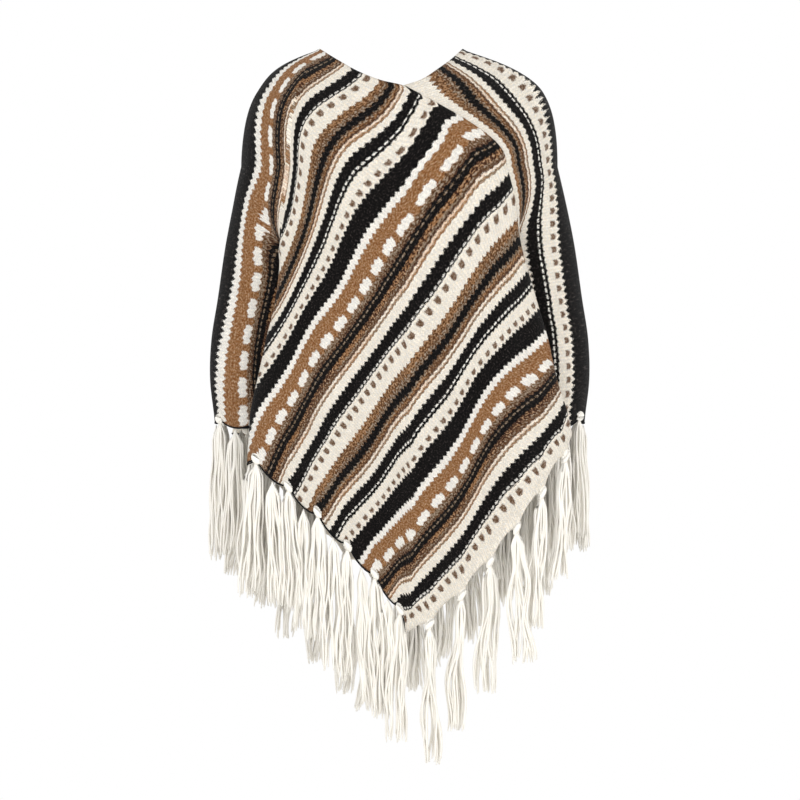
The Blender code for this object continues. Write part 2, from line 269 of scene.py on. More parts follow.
# How often over the whole fall the fan opens, the fan widens and the waves reach their height.
FAN_OPENING = 8.0
FAN_WIDENING = 1.3
WAVE_GROWTH = 2.5
# Waves square to the cloth, as shares of the strand's own.
DEEP_WAVE = 1.5
DEEP_TURNS = 0.8
KNOT_LOOPS = 5
KNOT_PITCH = 0.0028
KNOT_OUT = 0.0054
KNOT_DOWN = 0.0058
KNOT_DROP = 0.0015
KNOT_ROUNDING = 0.10
KNOT_RADIUS = 0.0022
KNOT_SIDES = 5
LOOP_STEPS = 14
ROOT_DROP = 0.004
HEM_STEP = 0.004


# ------------------------ small helpers
def mix(a, b, share):
    """a at share 0 and b at share 1, linear between."""
    return a + (b - a) * share


def smooth_step(x):
    """0 below 0, 1 above 1 and 3x^2 - 2x^3 between."""
    x = np.clip(x, 0.0, 1.0)
    return x * x * (3.0 - 2.0 * x)


def hermite(t, start, start_pull, end, end_pull):
    """Cubic from start to end that leaves and arrives with the given pulls."""
    return (
        (2 * t**3 - 3 * t**2 + 1) * start
        + (t**3 - 2 * t**2 + t) * start_pull
        + (3 * t**2 - 2 * t**3) * end
        + (t**3 - t**2) * end_pull
    )


def through(table, column, x):
    """Smooth curve through one column of a table: cubics whose slope at each row is the slope
    between that row's neighbours."""
    rows = np.array(table, float)
    rows = rows[np.argsort(rows[:, 0])]
    knots = rows[:, 0]
    values = rows[:, column]
    slopes = np.gradient(values, knots)
    x = np.clip(x, knots[0], knots[-1])
    i = np.clip(np.searchsorted(knots, x) - 1, 0, len(knots) - 2)
    span = knots[i + 1] - knots[i]
    share = (x - knots[i]) / span
    return hermite(share, values[i], span * slopes[i], values[i + 1], span * slopes[i + 1])


def unit(vectors):
    """Vectors divided by their lengths."""
    return vectors / np.linalg.norm(vectors, axis=-1, keepdims=True)


def distance_along(points, axis):
    """Distance of each point from the first one along an axis of a grid, summed step by step."""
    steps = np.linalg.norm(np.diff(points, axis=axis), axis=-1)
    return np.concatenate([np.zeros_like(steps.take([0], axis)), np.cumsum(steps, axis)], axis)


def half_turn(points):
    """Points turned half a turn about the upright axis."""
    return points * np.array((-1.0, -1.0, 1.0))


def settle_neck(points):
    """Moves the neck aside by NECK_SHIFT, less and less over NECK_SHIFT_DROP below the shoulder
    tops."""
    moved = np.array(points, float)
    moved[..., 0] += NECK_SHIFT * smooth_step(1.0 + moved[..., 2] / NECK_SHIFT_DROP)
    return moved


# ------------------------ the hanging lines
def section(name, z):
    """Value of a column of SECTIONS at height z."""
    return through(SECTIONS, SECTION_COLUMNS.index(name), z)


def oval(x, z):
    """Level cut of the unpleated form, |x/w|^p + |y/d|^p = 1. Returns y and the slope dy/dx."""
    half = section("half_width", z)
    depth = section("depth", z)
    share = np.clip(np.abs(x) / half, 0.0, OVAL_LIMIT)
    rise = (1.0 - share**OVAL_POWER) ** (1.0 / OVAL_POWER)
    slope = np.sign(x) * depth / half * (share / rise) ** (OVAL_POWER - 1.0)
    return -depth * rise, slope


def pleat_opening(side, z):
    """0 above the apex of a pleat, and 1 from PLEAT_OPENING below it."""
    return smooth_step((PLEATS[side]["apex"] - z) / PLEAT_OPENING)


def pleat_stations(side, z):
    """Lip, valley, mouth and arm fold at height z, walked outwards: x, y, pull in x, pull in y.
    Above the apex they lie on the oval. Below it they part into three layers."""
    pleat = PLEATS[side]
    lip = section("lip_left" if side < 0 else "lip_right", z)
    half = section("half_width", z)
    lip_y = -section("lip_depth", z)
    arm_y = -section("arm_depth", z)
    opened = pleat_opening(side, z)
    grown = (pleat["apex"] - z) / (pleat["apex"] - PLEAT_HEM)
    grown = np.clip(grown, 0.0, PLEAT_GROWTH_LIMIT)
    turn = PLEAT_TURN * mix(APEX_TURN, 1.0, grown)
    chord = CLOSED_SHARES[1] * (half - lip)
    folded = (
        (lip, lip_y, 0.0, turn),
        (lip - pleat["reach"] * grown, mix(lip_y, arm_y, VALLEY_LAYER), 0.0, VALLEY_TURN * turn),
        (half - pleat["strip"], arm_y, ARM_FULLNESS * pleat["strip"], 0.0),
    )
    stations = []
    for share, (fold_x, fold_y, pull_x, pull_y) in zip(CLOSED_SHARES, folded):
        x = mix(lip, half, share)
        y, slope = oval(x, z)
        length = np.hypot(1.0, slope)
        stations.append(
            (
                side * mix(x, fold_x, opened),
                mix(y, fold_y, opened),
                side * mix(chord / length, pull_x, opened),
                mix(chord * slope / length, pull_y, opened),
            )
        )
    still = np.zeros_like(half)
    stations.append((side * half, still, still, -ARM_FULLNESS * arm_y))
    return stations


def pleat_walk(side, t, z):
    """Point on a pleat: t from 0 to 1 runs from the lip to the valley, to 2 to the mouth and to 3
    round the arm to its fold."""
    stations = pleat_stations(side, z)
    x = np.zeros(z.shape)
    y = np.zeros(z.shape)
    for piece in range(PLEAT_PARTS):
        here = np.broadcast_to(np.clip(np.floor(t), 0, PLEAT_PARTS - 1) == piece, z.shape)
        a = [np.broadcast_to(v, z.shape) for v in stations[piece]]
        b = [np.broadcast_to(v, z.shape) for v in stations[piece + 1]]
        local = np.broadcast_to(t - piece, z.shape)
        x = np.where(here, hermite(local, a[0], a[2], b[0], b[2]), x)
        y = np.where(here, hermite(local, a[1], a[3], b[1], b[3]), y)
    return x, y


def drape_folds(across, z):
    """Height of the soft folds: a sum of bell curves across the drape that grow downwards."""
    total = np.zeros(z.shape)
    for place, width, height, start in FOLDS:
        grown = smooth_step((start - z) / (start - FOLD_FOOT))
        total = total + height * grown * np.exp(-(((across - place) / width) ** 2))
    return total


def drape_walk(across, z):
    """Front drape from the right lip (across 0) to the left lip (across 1): on the oval above the
    apexes, and below them a shallow oval that turns over at both lips."""
    x = mix(section("lip_right", z), -section("lip_left", z), across)
    flat_y, _ = oval(x, z)
    lip_y = -section("lip_depth", z)
    edge = np.clip(np.abs(2.0 * across - 1.0), 0.0, 1.0)
    roll = (1.0 - edge**OVAL_POWER) ** (1.0 / OVAL_POWER)
    rolled_y = mix(lip_y, -section("depth", z), roll)
    opened = mix(pleat_opening(1, z), pleat_opening(-1, z), smooth_step(across))
    return x, mix(flat_y, rolled_y, opened) - drape_folds(across, z)


def across_drape(station):
    """Share of the drape's width at a station between 0 (front seam) and 2 (left lip)."""
    station = np.clip(station, 0.0, LIP_STATION)
    return 0.5 * station - LIP_EASE * np.sin(np.pi * station)


def form(station, z):
    """Plan position of the hanging line at a station, at height z. The far side of the arm is the
    right pleat turned half a turn, because the other panel's front is this panel's back."""
    drape_x, drape_y = drape_walk(across_drape(station), z)
    near_x, near_y = pleat_walk(-1, np.clip(station - LIP_STATION, 0.0, PLEAT_PARTS), z)
    far_x, far_y = pleat_walk(1, np.clip(LAST_STATION - station, 0.0, PLEAT_PARTS), z)
    x = np.where(station < ARM_STATION, near_x, -far_x)
    y = np.where(station < ARM_STATION, near_y, -far_y)
    on_drape = station < LIP_STATION
    return np.where(on_drape, drape_x, x), np.where(on_drape, drape_y, y)


def between_stations(column, station):
    """Value of a column of STATIONS at any station, linear between rows."""
    place = STATION_COLUMNS.index(column)
    return np.interp(station, np.arange(len(STATIONS)), [row[place] for row in STATIONS])


def hem_place(station):
    """Station used along the hem: even steps across the drape, and unchanged elsewhere."""
    return np.where(station < LIP_STATION, 2.0 * across_drape(station), station)


def hem_arch(station):
    """Rise of the left edge of the point: HEM_ARCH sqrt(sin(pi r)), where r runs from the point to
    the lip."""
    r = np.clip(hem_place(station) - 1.0, 0.0, 1.0)
    return HEM_ARCH * np.sqrt(np.sin(np.pi * r).clip(0.0))


def hem_height(station, label):
    """Height of a panel's hem. On the drape its two edges are straight as seen from the front, but
    the right one bows down by HEM_BOW q^HEM_BOW_SKEW (1 - q), where q runs from the seam to the
    point, and the left one has an arch. The lift of the point dies out evenly along both edges."""
    place = hem_place(station)
    q = np.clip(place, 0.0, 1.0)
    bow = BOW_SHARE[label] * HEM_BOW * q**HEM_BOW_SKEW * (1.0 - q)
    lift = POINT_LIFT[label] * np.clip(1.0 - np.abs(place - 1.0), 0.0, 1.0)
    return between_stations("hem", place) - bow + hem_arch(station) + lift


def line_stations():
    """Station of every hanging line, evenly spaced between two rows of STATIONS."""
    counts = [row[STATION_COLUMNS.index("lines")] for row in STATIONS]
    steps = [i + k / count for i, count in enumerate(counts) for k in range(count)]
    return np.array(steps + [LAST_STATION])


def panel_surface(stations, label):
    """Middle surface of a panel as an array of lines by rows by xyz, before panel B gets its half
    turn. A line leaves the neck along a cubic over the shoulder, and below SHOULDER_FOOT it
    follows the level cuts."""
    neck_share = between_stations("neck", stations)
    hem = hem_height(stations, label)
    neck = np.stack([through(NECK, c, neck_share) for c in (1, 2, 3)], axis=-1)
    fall = between_stations("fall", stations)
    foot_z = np.full((len(stations), 1), SHOULDER_FOOT)
    foot_x, foot_y = form(stations[:, None], foot_z)
    foot = np.stack([foot_x, foot_y, foot_z], axis=-1)[:, 0]
    corner = foot.copy()
    corner[:, 2] = mix(neck[:, 2], foot[:, 2], fall)
    near_neck = mix(neck, corner, SHOULDER_FULLNESS)[:, None]
    near_foot = mix(foot, corner, SHOULDER_FULLNESS)[:, None]
    t = np.linspace(0.0, 1.0, SHOULDER_ROWS + 1)[None, :-1, None]
    shoulder = (
        (1 - t) ** 3 * neck[:, None]
        + 3 * (1 - t) ** 2 * t * near_neck
        + 3 * (1 - t) * t**2 * near_foot
        + t**3 * foot[:, None]
    )
    t = np.linspace(0.0, 1.0, HANGING_ROWS + 1)[None, :]
    z = mix(SHOULDER_FOOT, hem[:, None], t)
    x, y = form(stations[:, None], z)
    return np.concatenate([shoulder, np.stack([x, y, z], axis=-1)], axis=1)


def surface_normals(surface):
    """Outward normals. At a seam the neighbouring line belongs to the other panel."""
    before = half_turn(surface[-2])[None]
    after = half_turn(surface[1])[None]
    steps = unit(np.diff(np.concatenate([before, surface, after]), axis=0))
    along = steps[1:] + steps[:-1]
    down = np.gradient(surface, axis=1)
    return unit(np.cross(along, down))


# ------------------------ places on the flat knitting
def softened_half(x, softness):
    """max(x, 0) with its corner rounded: (x + sqrt(x^2 + s^2)) / 2, scaled to reach 1 at x = 1."""
    return (x + np.sqrt(x * x + softness**2)) / (1.0 + np.sqrt(1.0 + softness**2))


def knit_slip(place, share):
    """Slip of the knitting along v, in metres: smooth curves through the rows of SLIP, then a
    smooth curve through the six values along the line."""
    columns = [through(SLIP, k + 1, place) for k in range(SLIP_STEPS + 1)]
    values = np.stack([np.broadcast_to(column, share.shape) for column in columns])
    slopes = np.gradient(values, axis=0)
    i = np.clip((share * SLIP_STEPS).astype(int), 0, SLIP_STEPS - 1)

    def pick(table, at):
        return np.take_along_axis(table, at[None], axis=0)[0]

    start, end = pick(values, i), pick(values, i + 1)
    start_pull, end_pull = pick(slopes, i), pick(slopes, i + 1)
    return 0.001 * hermite(share * SLIP_STEPS - i, start, start_pull, end, end_pull)


def knit_places(stations, surface):
    """u and v of every grid point, metres. Along a hanging line both change evenly from the neck
    to the hem: u by height once the line hangs, so that the wales stay level, and v as if the hem
    had no arch, so that the stripes run straight on over it. On the drape the line's end moves
    round the corner of the free end, softened away from the hem."""
    length = distance_along(surface, 1)
    unarched = length / (length[:, -1:] + hem_arch(stations)[:, None])
    share = length / length[:, -1:]
    neck_v = (NECK_START + between_stations("neck", stations)[:, None] * NECK_SPAN) * REPEAT
    station = stations[:, None]
    turn = 2.0 * across_drape(station) - 1.0
    softness = CORNER_SOFTNESS * (1.0 - share) ** CORNER_SHARPENING
    lip_v = between_stations("hem_v", LIP_STATION) * REPEAT
    start = HEM_START * smooth_step((share - HEM_START_SHARE) / (1.0 - HEM_START_SHARE))
    drape_u = PANEL_WIDTH - (PANEL_WIDTH - start) * softened_half(-turn, softness)
    drape_v = lip_v * softened_half(turn, softness)
    on_drape = station < LIP_STATION
    drape_u = np.where(on_drape, drape_u, PANEL_WIDTH)
    hem_v = np.where(on_drape, drape_v, between_stations("hem_v", station) * REPEAT)
    place = np.where(on_drape, across_drape(station), station - 1.0)
    foot = share[:, SHOULDER_ROWS, None]
    hung = np.clip((np.arange(share.shape[1]) - SHOULDER_ROWS) / HANGING_ROWS, 0.0, 1.0)
    u = drape_u * np.where(hung > 0.0, mix(foot, 1.0, hung), share)
    v = mix(neck_v, hem_v, unarched) + knit_slip(place, unarched)
    return np.stack([u, v], axis=-1)


def crease_height(label, places):
    """Sum of soft ridges, each its height x exp(-(along / half length)^2 - (across / half
    width)^2)."""
    total = np.zeros(places.shape[:2])
    for u, v, length, width, turn, height in CREASES[label]:
        du = places[..., 0] * 1000 - u
        dv = places[..., 1] * 1000 - v
        angle = np.radians(turn)
        along = du * np.cos(angle) + dv * np.sin(angle)
        across = dv * np.cos(angle) - du * np.sin(angle)
        total += 0.001 * height * np.exp(-((along / length) ** 2) - (across / width) ** 2)
    return total


def tassel_count(length):
    """Number of knots on a hem, as near to TASSEL_PITCH apart as a whole number gives."""
    return max(1, round(length / TASSEL_PITCH))


def dress_panel(label, stations, point, surface, normals):
    """Middle surface with its creases, seam groove, neck roll, scalloped outer edge, cloth pulled
    down at the knots of the free end, and curled corner. A scallop is SCALLOP x (sqrt|sin| - 1/2)
    along the hem between two knots, and it fades over SCALLOP_REACH up the cloth."""
    places = knit_places(stations, surface)
    seam = np.minimum(distance_along(surface, 0), distance_along(surface[::-1], 0)[::-1])
    from_neck = distance_along(surface, 1)
    from_hem = from_neck[:, -1:] - from_neck
    neck_share = from_neck / from_neck[:, -1:]
    calm = smooth_step(seam / SEAM_CALM) * smooth_step(neck_share / NECK_CALM_SHARE)
    offset = crease_height(label, places) * calm
    offset -= SEAM_GROOVE * np.exp(-((seam / SEAM_REACH) ** 2))
    offset += NECK_ROLL * np.exp(-((from_neck / NECK_REACH) ** 2))
    dressed = surface + normals * offset[..., None]

    pull = np.zeros(len(stations))
    run = distance_along(surface[: point + 1, -1], 0)
    count = tassel_count(run[-1])
    knots = run[-1] * (np.arange(count) + 0.5) / count
    bells = np.exp(-(((run[:, None] - knots) / KNOT_PULL_REACH) ** 2))
    pull[: point + 1] = KNOT_PULL * bells.sum(axis=1)
    run = distance_along(surface[point:, -1], 0)
    count = tassel_count(run[-1])
    wave = np.sqrt(np.abs(np.sin(np.pi * (run / run[-1] * count - 0.5)))) - 0.5
    wave *= smooth_step(run / SCALLOP_END) * smooth_step((run[-1] - run) / SCALLOP_END)
    pull[point:] += SCALLOP * wave
    down = unit(surface[:, -1] - surface[:, -2])
    fade = np.exp(-((from_hem / SCALLOP_REACH) ** 2))
    dressed += down[:, None] * (pull[:, None] * fade)[..., None]
    corner = np.hypot(places[..., 0] - PANEL_WIDTH, places[..., 1])
    dressed += np.array(CORNER_CURL) * np.exp(-((corner / CORNER_REACH) ** 2))[..., None]
    return dressed, places


# ------------------------ meshes
def make_piece(name, points, quads, uv, material):
    """Mesh object from points, which are moved with the neck, quads as rows of four indices, and a
    UV in mm for each corner."""
    mesh = bpy.data.meshes.new(name)
    points = settle_neck(points)
    mesh.vertices.add(len(points))
    mesh.vertices.foreach_set("co", points.astype(np.float32).ravel())
    mesh.loops.add(quads.size)
    mesh.loops.foreach_set("vertex_index", quads.astype(np.int32).ravel())
    mesh.polygons.add(len(quads))
    mesh.polygons.foreach_set("loop_start", np.arange(0, quads.size, 4, dtype=np.int32))
    mesh.polygons.foreach_set("loop_total", np.full(len(quads), 4, np.int32))
    layer = mesh.uv_layers.new(name="yarn_mm")
    layer.data.foreach_set("uv", uv.astype(np.float32).ravel())
    mesh.update(calc_edges=True)
    mesh.validate()
    mesh.shade_smooth()
    mesh.materials.append(material)
    piece = bpy.data.objects.new(name, mesh)
    bpy.context.collection.objects.link(piece)
    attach(piece, "root")
    return piece


def wall_quads(lines, rows):
    """Quads of a closed wall: the outer grid, the inner grid turned round, then the rim."""
    index = np.arange(lines * rows).reshape(lines, rows)
    a, b, c, d = index[:-1, :-1], index[:-1, 1:], index[1:, 1:], index[1:, :-1]
    outer = np.stack([a, d, c, b], axis=-1).reshape(-1, 4)
    shift = lines * rows
    inner = np.stack([a, b, c, d], axis=-1).reshape(-1, 4) + shift
    rim = np.concatenate([index[:, 0], index[-1, 1:], index[-2::-1, -1], index[0, -2:0:-1]])
    following = np.roll(rim, -1)
    edge = np.stack([following, rim, rim + shift, following + shift], axis=-1)
    return np.concatenate([outer, inner, edge])


def make_panel(label, dressed, normals, places, turn, material):
    """Cloth wall about the middle surface, with its sewn edges drawn back by half the seam gap."""
    middle = dressed.copy()
    middle[0] += unit(dressed[1] - dressed[0]) * SEAM_GAP / 2
    middle[-1] += unit(dressed[-2] - dressed[-1]) * SEAM_GAP / 2
    outer = middle + normals * WALL / 2
    inner = middle - normals * WALL / 2
    points = turn(np.concatenate([outer.reshape(-1, 3), inner.reshape(-1, 3)]))
    quads = wall_quads(*dressed.shape[:2])
    uv = np.concatenate([places.reshape(-1, 2)] * 2)[quads.ravel()] * 1000
    return make_piece("knit_panel_" + label, points, quads, uv, material)


def tube_arrays(paths, radii, sides, closed=False):
    """Tubes along many paths at once, as points, quads and UV in mm (round, along). A ring of
    points stands square to the path: its first direction is path x z, or path x y where the path
    is steep. Open tubes end in open rings, which their callers may narrow."""
    count, steps, _ = paths.shape
    if closed:
        along = unit(np.roll(paths, -1, axis=1) - np.roll(paths, 1, axis=1))
    else:
        along = unit(np.gradient(paths, axis=1))
    steep = np.abs(along[..., 2:]) > 0.9
    side = unit(np.cross(along, np.where(steep, (0.0, 1.0, 0.0), (0.0, 0.0, 1.0))))
    up = np.cross(side, along)
    angle = np.linspace(0.0, 2 * np.pi, sides, endpoint=False)
    ring = side[:, :, None] * np.cos(angle)[:, None] + up[:, :, None] * np.sin(angle)[:, None]
    points = paths[:, :, None] + ring * radii[..., None, None]
    here = np.arange(count * steps * sides).reshape(count, steps, sides)
    beside = np.roll(here, -1, axis=2)
    ahead, ahead_beside = np.roll(here, -1, axis=1), np.roll(beside, -1, axis=1)
    last = steps if closed else steps - 1
    quads = np.stack([here, beside, ahead_beside, ahead], axis=-1)[:, :last].reshape(-1, 4)

    length = distance_along(paths, 1)
    length = np.concatenate([length, length[:, -1:] * (1 + 1 / steps)], axis=1)
    around = np.arange(sides + 1) / sides * (2 * np.pi * np.mean(radii))
    shape = (count, last, sides)
    u0, u1 = np.broadcast_to(around[:-1], shape), np.broadcast_to(around[1:], shape)
    v0 = np.broadcast_to(length[:, :last, None], shape)
    v1 = np.broadcast_to(length[:, 1 : last + 1, None], shape)
    corners = ((u0, v0), (u1, v0), (u1, v1), (u0, v1))
    uv = np.stack([np.stack(corner, axis=-1) for corner in corners], axis=-2)
    return points.reshape(-1, 3), quads, uv.reshape(-1, 2) * 1000


def join_arrays(*parts):
    """Several point, quad and UV arrays as one."""
    points, quads, uv = zip(*parts)
    starts = np.cumsum([0] + [len(p) for p in points[:-1]])
    quads = [q + start for q, start in zip(quads, starts)]
    return np.concatenate(points), np.concatenate(quads), np.concatenate(uv)


def strand_arrays(start, along, out, side, random):
    """Strands of a row of tassels: they leave the knots at start, part into a few locks and fall.
    Sideways a strand stands at its place in the fan x (FAN_AT_KNOT, growing to 1) + the tassel's
    lean x fall + a lock wave + a strand wave, and square to the cloth at STRAND_DEPTH x the sine
    of its phase + a wave of its own."""
    count, strands = len(start), STRANDS[side]
    level = unit(along * np.array((1.0, 1.0, 0.0)))
    level_out = unit(out * np.array((1.0, 1.0, 0.0)))
    fall = np.linspace(0.0, 1.0, STRAND_STEPS) ** STRAND_CROWDING
    lock = np.arange(strands) % LOCKS

    spread = LOCK_SPREAD * (2.0 * (lock + 0.5) / LOCKS - 1.0)
    spread = spread + random.uniform(-LOCK_SCATTER, LOCK_SCATTER, (count, strands))
    width = STRAND_FAN[side] * random.uniform(*TASSEL_WIDTHS, (count, 1))
    lean = TASSEL_LEAN[side] * random.uniform(-1.0, 1.0, (count, 1, 1))
    length = STRAND_LENGTH * random.uniform(*TASSEL_LENGTHS, (count, 1))
    length = length * random.uniform(*STRAND_LENGTHS, (count, strands))
    lock_phase = random.uniform(0, 2 * np.pi, (count, LOCKS))[:, lock][..., None]
    lock_turns = random.uniform(*LOCK_TURNS, (count, LOCKS))[:, lock][..., None]
    phase, deep_phase = random.uniform(0, 2 * np.pi, (2, count, strands, 1))
    turns = random.uniform(*STRAND_TURNS, (count, strands, 1))

    def wave(height, turns, phase):
        """Height x eased fall x sin(2 pi turns x fall + phase)."""
        return height * smooth_step(fall * WAVE_GROWTH) * np.sin(2 * np.pi * turns * fall + phase)

    widened = mix(FAN_AT_KNOT, 1.0, smooth_step(fall * FAN_WIDENING))
    fanned = smooth_step(fall * FAN_OPENING) * widened
    sideways = (spread * width)[..., None] * fanned + lean * fall
    sideways = sideways + wave(LOCK_WAVE[side], lock_turns, lock_phase)
    sideways = sideways + wave(STRAND_WAVE, turns, phase)
    deep = STRAND_DEPTH * np.sin(deep_phase) * fanned
    deep = deep + wave(DEEP_WAVE * STRAND_WAVE, DEEP_TURNS * turns, deep_phase)
    paths = (
        start[:, None, None]
        + level[:, None, None] * sideways[..., None]
        + level_out[:, None, None] * deep[..., None]
        - np.array((0.0, 0.0, 1.0)) * (length[..., None] * fall)[..., None]
    ).reshape(-1, STRAND_STEPS, 3)
    taper = np.ones(STRAND_STEPS)
    taper[[0, -2, -1]] = STRAND_ENDS
    radii = STRAND_RADIUS * np.broadcast_to(taper, paths.shape[:2])
    return tube_arrays(paths, radii, STRAND_SIDES)


def knot_arrays(root, along, out, hang):
    """Round knots over the cloth's edge: loops side by side, the middle ones larger. A loop is an
    ellipse of half axes KNOT_OUT and KNOT_DOWN x (1 - KNOT_ROUNDING x its place squared)."""
    angle = np.linspace(0, 2 * np.pi, LOOP_STEPS, endpoint=False)
    place = np.arange(KNOT_LOOPS) - (KNOT_LOOPS - 1) / 2
    girth = (1.0 - KNOT_ROUNDING * place**2)[:, None]
    down = KNOT_DROP + KNOT_DOWN * girth * np.sin(angle)
    rings = (
        root[:, None, None]
        + along[:, None, None] * (KNOT_PITCH * place)[:, None, None]
        + out[:, None, None] * (KNOT_OUT * girth * np.cos(angle))[..., None]
        + hang[:, None, None] * down[..., None]
    ).reshape(-1, LOOP_STEPS, 3)
    return tube_arrays(rings, np.full(rings.shape[:2], KNOT_RADIUS), KNOT_SIDES, closed=True)


def fringe_arrays(run, hem, hang, normals, side, random):
    """Tassels along a hem, evenly spaced over its run, the distance along it before it was pulled.
    On a long edge every second tassel is knotted on the inner face, so no knot shows."""
    count = tassel_count(run[-1])
    middles = run[-1] * (np.arange(count) + 0.5) / count
    if side == "side":
        middles = run[-1] * np.arange(1, 2 * count) / (2 * count)

    def at(values, distance):
        return np.stack([np.interp(distance, run, values[:, c]) for c in range(3)], axis=-1)

    root = at(hem, middles)
    out = unit(at(normals, middles))
    along = unit(at(hem, middles + HEM_STEP) - at(hem, middles - HEM_STEP))
    hang = unit(at(hang, middles))
    strands = strand_arrays(root + hang * ROOT_DROP, along, out, side, random)
    step = 2 if side == "side" else 1
    return join_arrays(strands, knot_arrays(root[::step], along[::step], out[::step], hang[::step]))


# ------------------------ materials
def linear(hex_colour):
    """sRGB hex as linear RGBA."""
    values = np.array([int(hex_colour[i : i + 2], 16) / 255 for i in (0, 2, 4)])
    values = np.where(values <= 0.04045, values / 12.92, ((values + 0.055) / 1.055) ** 2.4)
    return (*values.tolist(), 1.0)


def plug(tree, target, values):
    """Links or sets a node's inputs, given by number or name. A node gives its first output."""
    for key, value in values.items():
        if isinstance(value, bpy.types.Node):
            value = value.outputs[0]
        if isinstance(value, bpy.types.NodeSocket):
            tree.links.new(value, target.inputs[key])
        elif value is not None:
            target.inputs[key].default_value = value


def node(tree, kind, *inputs, sockets=None, **settings):
    """Adds a node with its settings, links and values, and returns it. Inputs go in order, or by
    number or name in sockets. The name of an operation stands for a math node."""
    if not kind.startswith("ShaderNode"):
        kind, settings = "ShaderNodeMath", {"operation": kind}
    made = tree.nodes.new(kind)
    for key, value in settings.items():
        setattr(made, key, value)
    plug(tree, made, {**dict(enumerate(inputs)), **(sockets or {})})
    return made


def start_material(name):
    """New material, its shader, node() for its tree, and plug() for its shader."""
    material = bpy.data.materials.new(name)
    material.use_nodes = True
    tree = material.node_tree
    shader = tree.nodes["Principled BSDF"]
    return material, partial(node, tree), partial(plug, tree, shader)


YARNS = {
    "cream": "F4ECDE",
    "white": "F8F3EA",
    "black": "0B0807",
    "caramel": "976C47",
    "brown": "6C4E36",
    "umber": "4A3226",
    "taupe": "88745F",
    "peach": "E3C4A8",
}
# Stitches: height of a course and width of a wale, in mm, courses in a repeat, and the slope of a
# leg, in courses a wale. Past the free end v rests, in mm, so its last course runs over the edge.
COURSE = 3.59
WALE = 8.4
COURSES = 82.0
LEG = 2.5
EDGE_REST = 2.6
# Noises of the yarn: scale per mm, then reach in mm or as a share.
WANDER, WANDER_REACH = 0.05, 2.4
FUZZ, FUZZ_U, FUZZ_V = 0.9, 5.0, 6.0
PATCH, SPECK = 0.018, 0.36
# Fringe and edge yarn: girth of one ply and length of one turn, mm; scale of its patches per metre.
PLY_GIRTH, PLY_TURN, STRAND_PATCH = 5.0, 7.0, 160.0

# Chart of one repeat. first: the course where a band begins; then its ground yarn, its second yarn
# and how that enters; middle and half: where it stands, in courses. marl: legs mixed one by one;
# beads: a dash in every stitch; bars: every second stitch; ovals: three stitches of four.
# first, ground, second, way, middle, half
CHART = (
    (0, "cream", "cream", "plain", 0, 0),
    (3.6, "cream", "brown", "bars", 6.2, 1.5),
    (8.6, "black", "white", "beads", 9.9, 0.36),
    (11, "black", "black", "plain", 0, 0),
    (14.6, "cream", "cream", "plain", 0, 0),
    (18.6, "caramel", "taupe", "marl", 0, 0),
    (19.6, "peach", "cream", "marl", 0, 0),
    (20.6, "umber", "brown", "marl", 0, 0),
    (21.6, "taupe", "brown", "marl", 0, 0),
    (22.6, "caramel", "umber", "marl", 0, 0),
    (25.2, "black", "taupe", "beads", 27.5, 0.34),
    (28.4, "brown", "umber", "marl", 0, 0),
    (30.0, "taupe", "brown", "marl", 0, 0),
    (31.4, "caramel", "white", "ovals", 34.2, 1.9),
    (37.4, "caramel", "caramel", "plain", 0, 0),
    (42, "white", "white", "plain", 0, 0),
    (44.6, "black", "black", "plain", 0, 0),
    (53.2, "cream", "brown", "bars", 55.3, 1.1),
    (57, "cream", "cream", "plain", 0, 0),
    (60.2, "black", "white", "beads", 61.5, 0.36),
    (63, "black", "black", "plain", 0, 0),
    (65.8, "cream", "cream", "plain", 0, 0),
    (68.8, "caramel", "taupe", "marl", 0, 0),
    (69.6, "peach", "cream", "marl", 0, 0),
    (70.6, "umber", "brown", "marl", 0, 0),
    (71.6, "caramel", "brown", "marl", 0, 0),
    (72.6, "taupe", "brown", "marl", 0, 0),
    (73.6, "black", "black", "plain", 0, 0),
    (76.8, "taupe", "brown", "marl", 0, 0),
    (79, "caramel", "brown", "marl", 0, 0),
)
WAYS = ("plain", "bars", "beads", "ovals", "marl")

# How far the stitches' legs slant across a repeat: course, share of the full slant.
SLANT = (
    (0, 1.0), (7.6, 1.0), (8.6, 0.25), (10.6, 0.25), (12, 1.0), (17.2, 1.0),
    (18.8, 0.35), (21, 0.35), (24, 0.7), (25.2, 0.3), (28.2, 0.3), (29.6, 0.8),
    (41, 1.0), (59.2, 1.0), (60.2, 0.25), (62.2, 0.25), (63.6, 1.0), (67.4, 0.9),
    (69, 0.35), (71, 0.35), (73.5, 0.7), (77, 1.0),
)


def course_ramp(add, share, stops, interpolation):
    """Ramp over one repeat from (course, colour) stops."""
    ramp = add("ShaderNodeValToRGB", share)
    ramp.color_ramp.interpolation = interpolation
    elements = ramp.color_ramp.elements
    elements.remove(elements[1])
    elements[0].position = 0.0
    elements[0].color = stops[0][1]
    for course, colour in stops[1:]:
        elements.new(course / COURSES).color = colour
    return ramp


